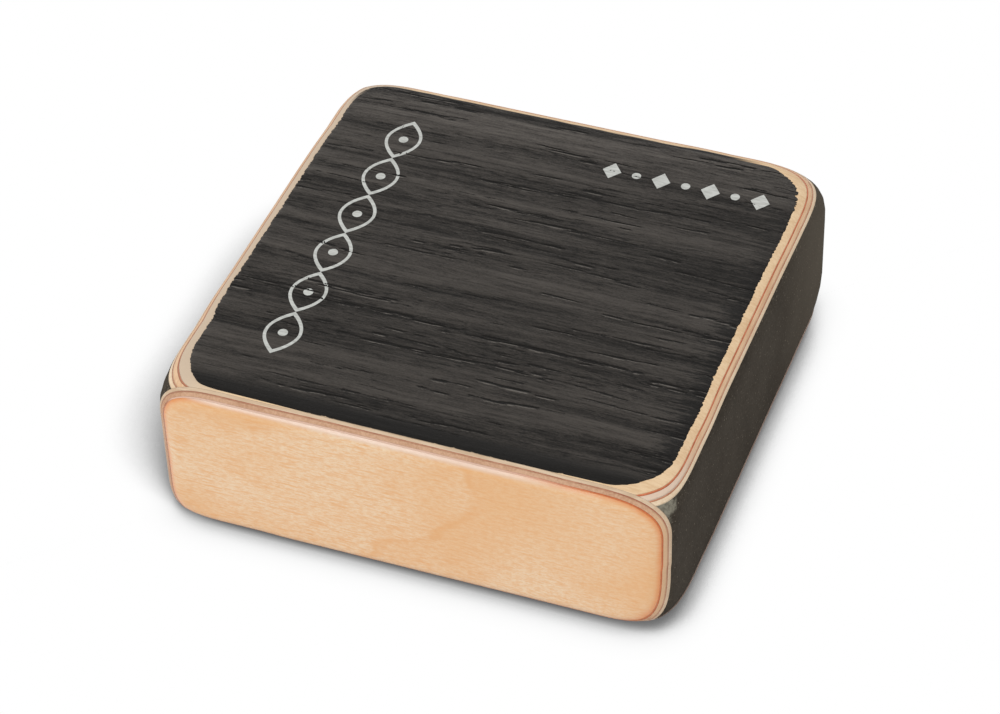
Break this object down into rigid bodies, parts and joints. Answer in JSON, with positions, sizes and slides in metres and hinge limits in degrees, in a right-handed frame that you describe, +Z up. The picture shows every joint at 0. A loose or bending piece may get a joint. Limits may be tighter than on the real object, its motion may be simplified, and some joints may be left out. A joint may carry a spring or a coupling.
{
  "type": "percussion shaker",
  "caption": "Square hand shaker: a dark wooden frame closed by black-veneered and pale plywood panels, with steel shot loose in long parallel channels.",
  "frame": {"origin": "middle of the underside", "axes": "+Z up, out of the top face; -Y out of the pale front panel; +X to the right as seen from the front"},
  "size_m": [0.1, 0.1014, 0.0335],
  "materials": {
    "black_veneer": "black-stained open-grain veneer, satin",
    "birch_ply": "pale plywood edge, sanded and oiled",
    "birch_core": "cross-grain core ply, sanded and oiled",
    "front_birch": "pale birch, clear satin lacquer",
    "glue_film": "red-brown resin film",
    "dyed_board": "through-dyed dark fibreboard, matt",
    "steel_shot": "bright balls"
  },
  "bodies": {
    "case": {"top_veneer": "black_veneer", "top_face_ply": "birch_ply", "top_outer_glue_film": "glue_film", "top_core_ply": "birch_core", "top_inner_glue_film": "glue_film", "top_inner_ply": "birch_ply", "bottom_veneer": "black_veneer", "bottom_face_ply": "birch_ply", "bottom_outer_glue_film": "glue_film", "bottom_core_ply": "birch_core", "bottom_inner_glue_film": "glue_film", "bottom_inner_ply": "birch_ply", "front_face_ply": "front_birch", "front_outer_glue_film": "glue_film", "front_core_ply": "birch_core", "front_inner_glue_film": "glue_film", "front_inner_ply": "birch_ply", "left_wall": "dyed_board", "right_wall": "dyed_board", "back_wall": "dyed_board", "divider_1": "dyed_board", "divider_2": "dyed_board", "divider_3": "dyed_board", "divider_4": "dyed_board"},
    "tail_1": {"shot_tail_1": "steel_shot"},
    "charge_1": {"shot_charge_1": "steel_shot"},
    "tail_2": {"shot_tail_2": "steel_shot"},
    "charge_2": {"shot_charge_2": "steel_shot"},
    "tail_3": {"shot_tail_3": "steel_shot"},
    "charge_3": {"shot_charge_3": "steel_shot"},
    "tail_4": {"shot_tail_4": "steel_shot"},
    "charge_4": {"shot_charge_4": "steel_shot"},
    "tail_5": {"shot_tail_5": "steel_shot"},
    "charge_5": {"shot_charge_5": "steel_shot"}
  },
  "joints": [
    {"name": "short_stroke_1", "type": "slide", "parent": "case", "child": "tail_1", "axis": [1, 0, 0], "range_m": [-0.00125, 0.00125]},
    {"name": "long_stroke_1", "type": "slide", "parent": "tail_1", "child": "charge_1", "axis": [0, 1, 0], "range_m": [-0.0293, 0.0293]},
    {"name": "short_stroke_2", "type": "slide", "parent": "case", "child": "tail_2", "axis": [1, 0, 0], "range_m": [-0.00125, 0.00125]},
    {"name": "long_stroke_2", "type": "slide", "parent": "tail_2", "child": "charge_2", "axis": [0, 1, 0], "range_m": [-0.0293, 0.0293]},
    {"name": "short_stroke_3", "type": "slide", "parent": "case", "child": "tail_3", "axis": [1, 0, 0], "range_m": [-0.00125, 0.00125]},
    {"name": "long_stroke_3", "type": "slide", "parent": "tail_3", "child": "charge_3", "axis": [0, 1, 0], "range_m": [-0.0293, 0.0293]},
    {"name": "short_stroke_4", "type": "slide", "parent": "case", "child": "tail_4", "axis": [1, 0, 0], "range_m": [-0.00125, 0.00125]},
    {"name": "long_stroke_4", "type": "slide", "parent": "tail_4", "child": "charge_4", "axis": [0, 1, 0], "range_m": [-0.0293, 0.0293]},
    {"name": "short_stroke_5", "type": "slide", "parent": "case", "child": "tail_5", "axis": [1, 0, 0], "range_m": [-0.00125, 0.00125]},
    {"name": "long_stroke_5", "type": "slide", "parent": "tail_5", "child": "charge_5", "axis": [0, 1, 0], "range_m": [-0.0293, 0.0293]}
  ]
}
